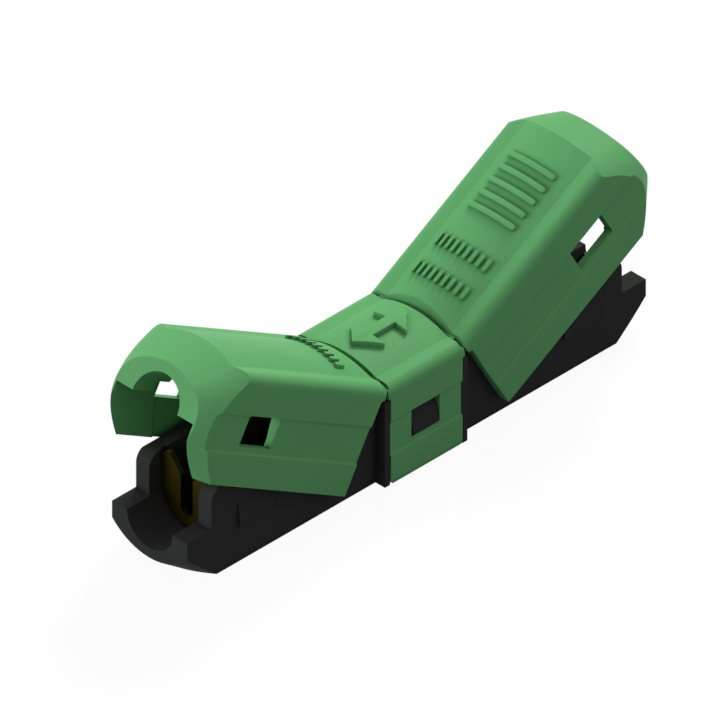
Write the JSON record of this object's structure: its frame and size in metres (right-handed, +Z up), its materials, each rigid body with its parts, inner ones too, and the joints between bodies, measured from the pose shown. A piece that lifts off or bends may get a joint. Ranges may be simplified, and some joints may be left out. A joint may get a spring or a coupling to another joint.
{
  "type": "inline wire connector",
  "caption": "Inline insulation-displacement wire connector: tray with brass blades under a cap and end lids on living hinges, lids open.",
  "frame": {"origin": "middle of the tray's flat underside", "axes": "+X along the two wires, +Y across, +Z up out of the tray"},
  "size_m": [0.0456, 0.0094, 0.0173],
  "materials": {
    "tray_plastic": "fine matte black moulding",
    "cover_plastic": "satin green moulding",
    "contact_brass": "bright stamped strip"
  },
  "bodies": {
    "base": {"base_tray": "tray_plastic", "contact_strip": "contact_brass", "centre_cap": "cover_plastic"},
    "near_lid": {"near_lid": "cover_plastic"},
    "far_lid": {"far_lid": "cover_plastic"}
  },
  "joints": [
    {"name": "near_lid_hinge", "type": "hinge", "parent": "base", "child": "near_lid", "pos_m": [-0.00379, 0, 0.00811], "axis": [0, 1, 0], "range_deg": [-30, 20]},
    {"name": "far_lid_hinge", "type": "hinge", "parent": "base", "child": "far_lid", "pos_m": [0.00379, 0, 0.00811], "axis": [0, -1, 0], "range_deg": [-30, 20]}
  ]
}
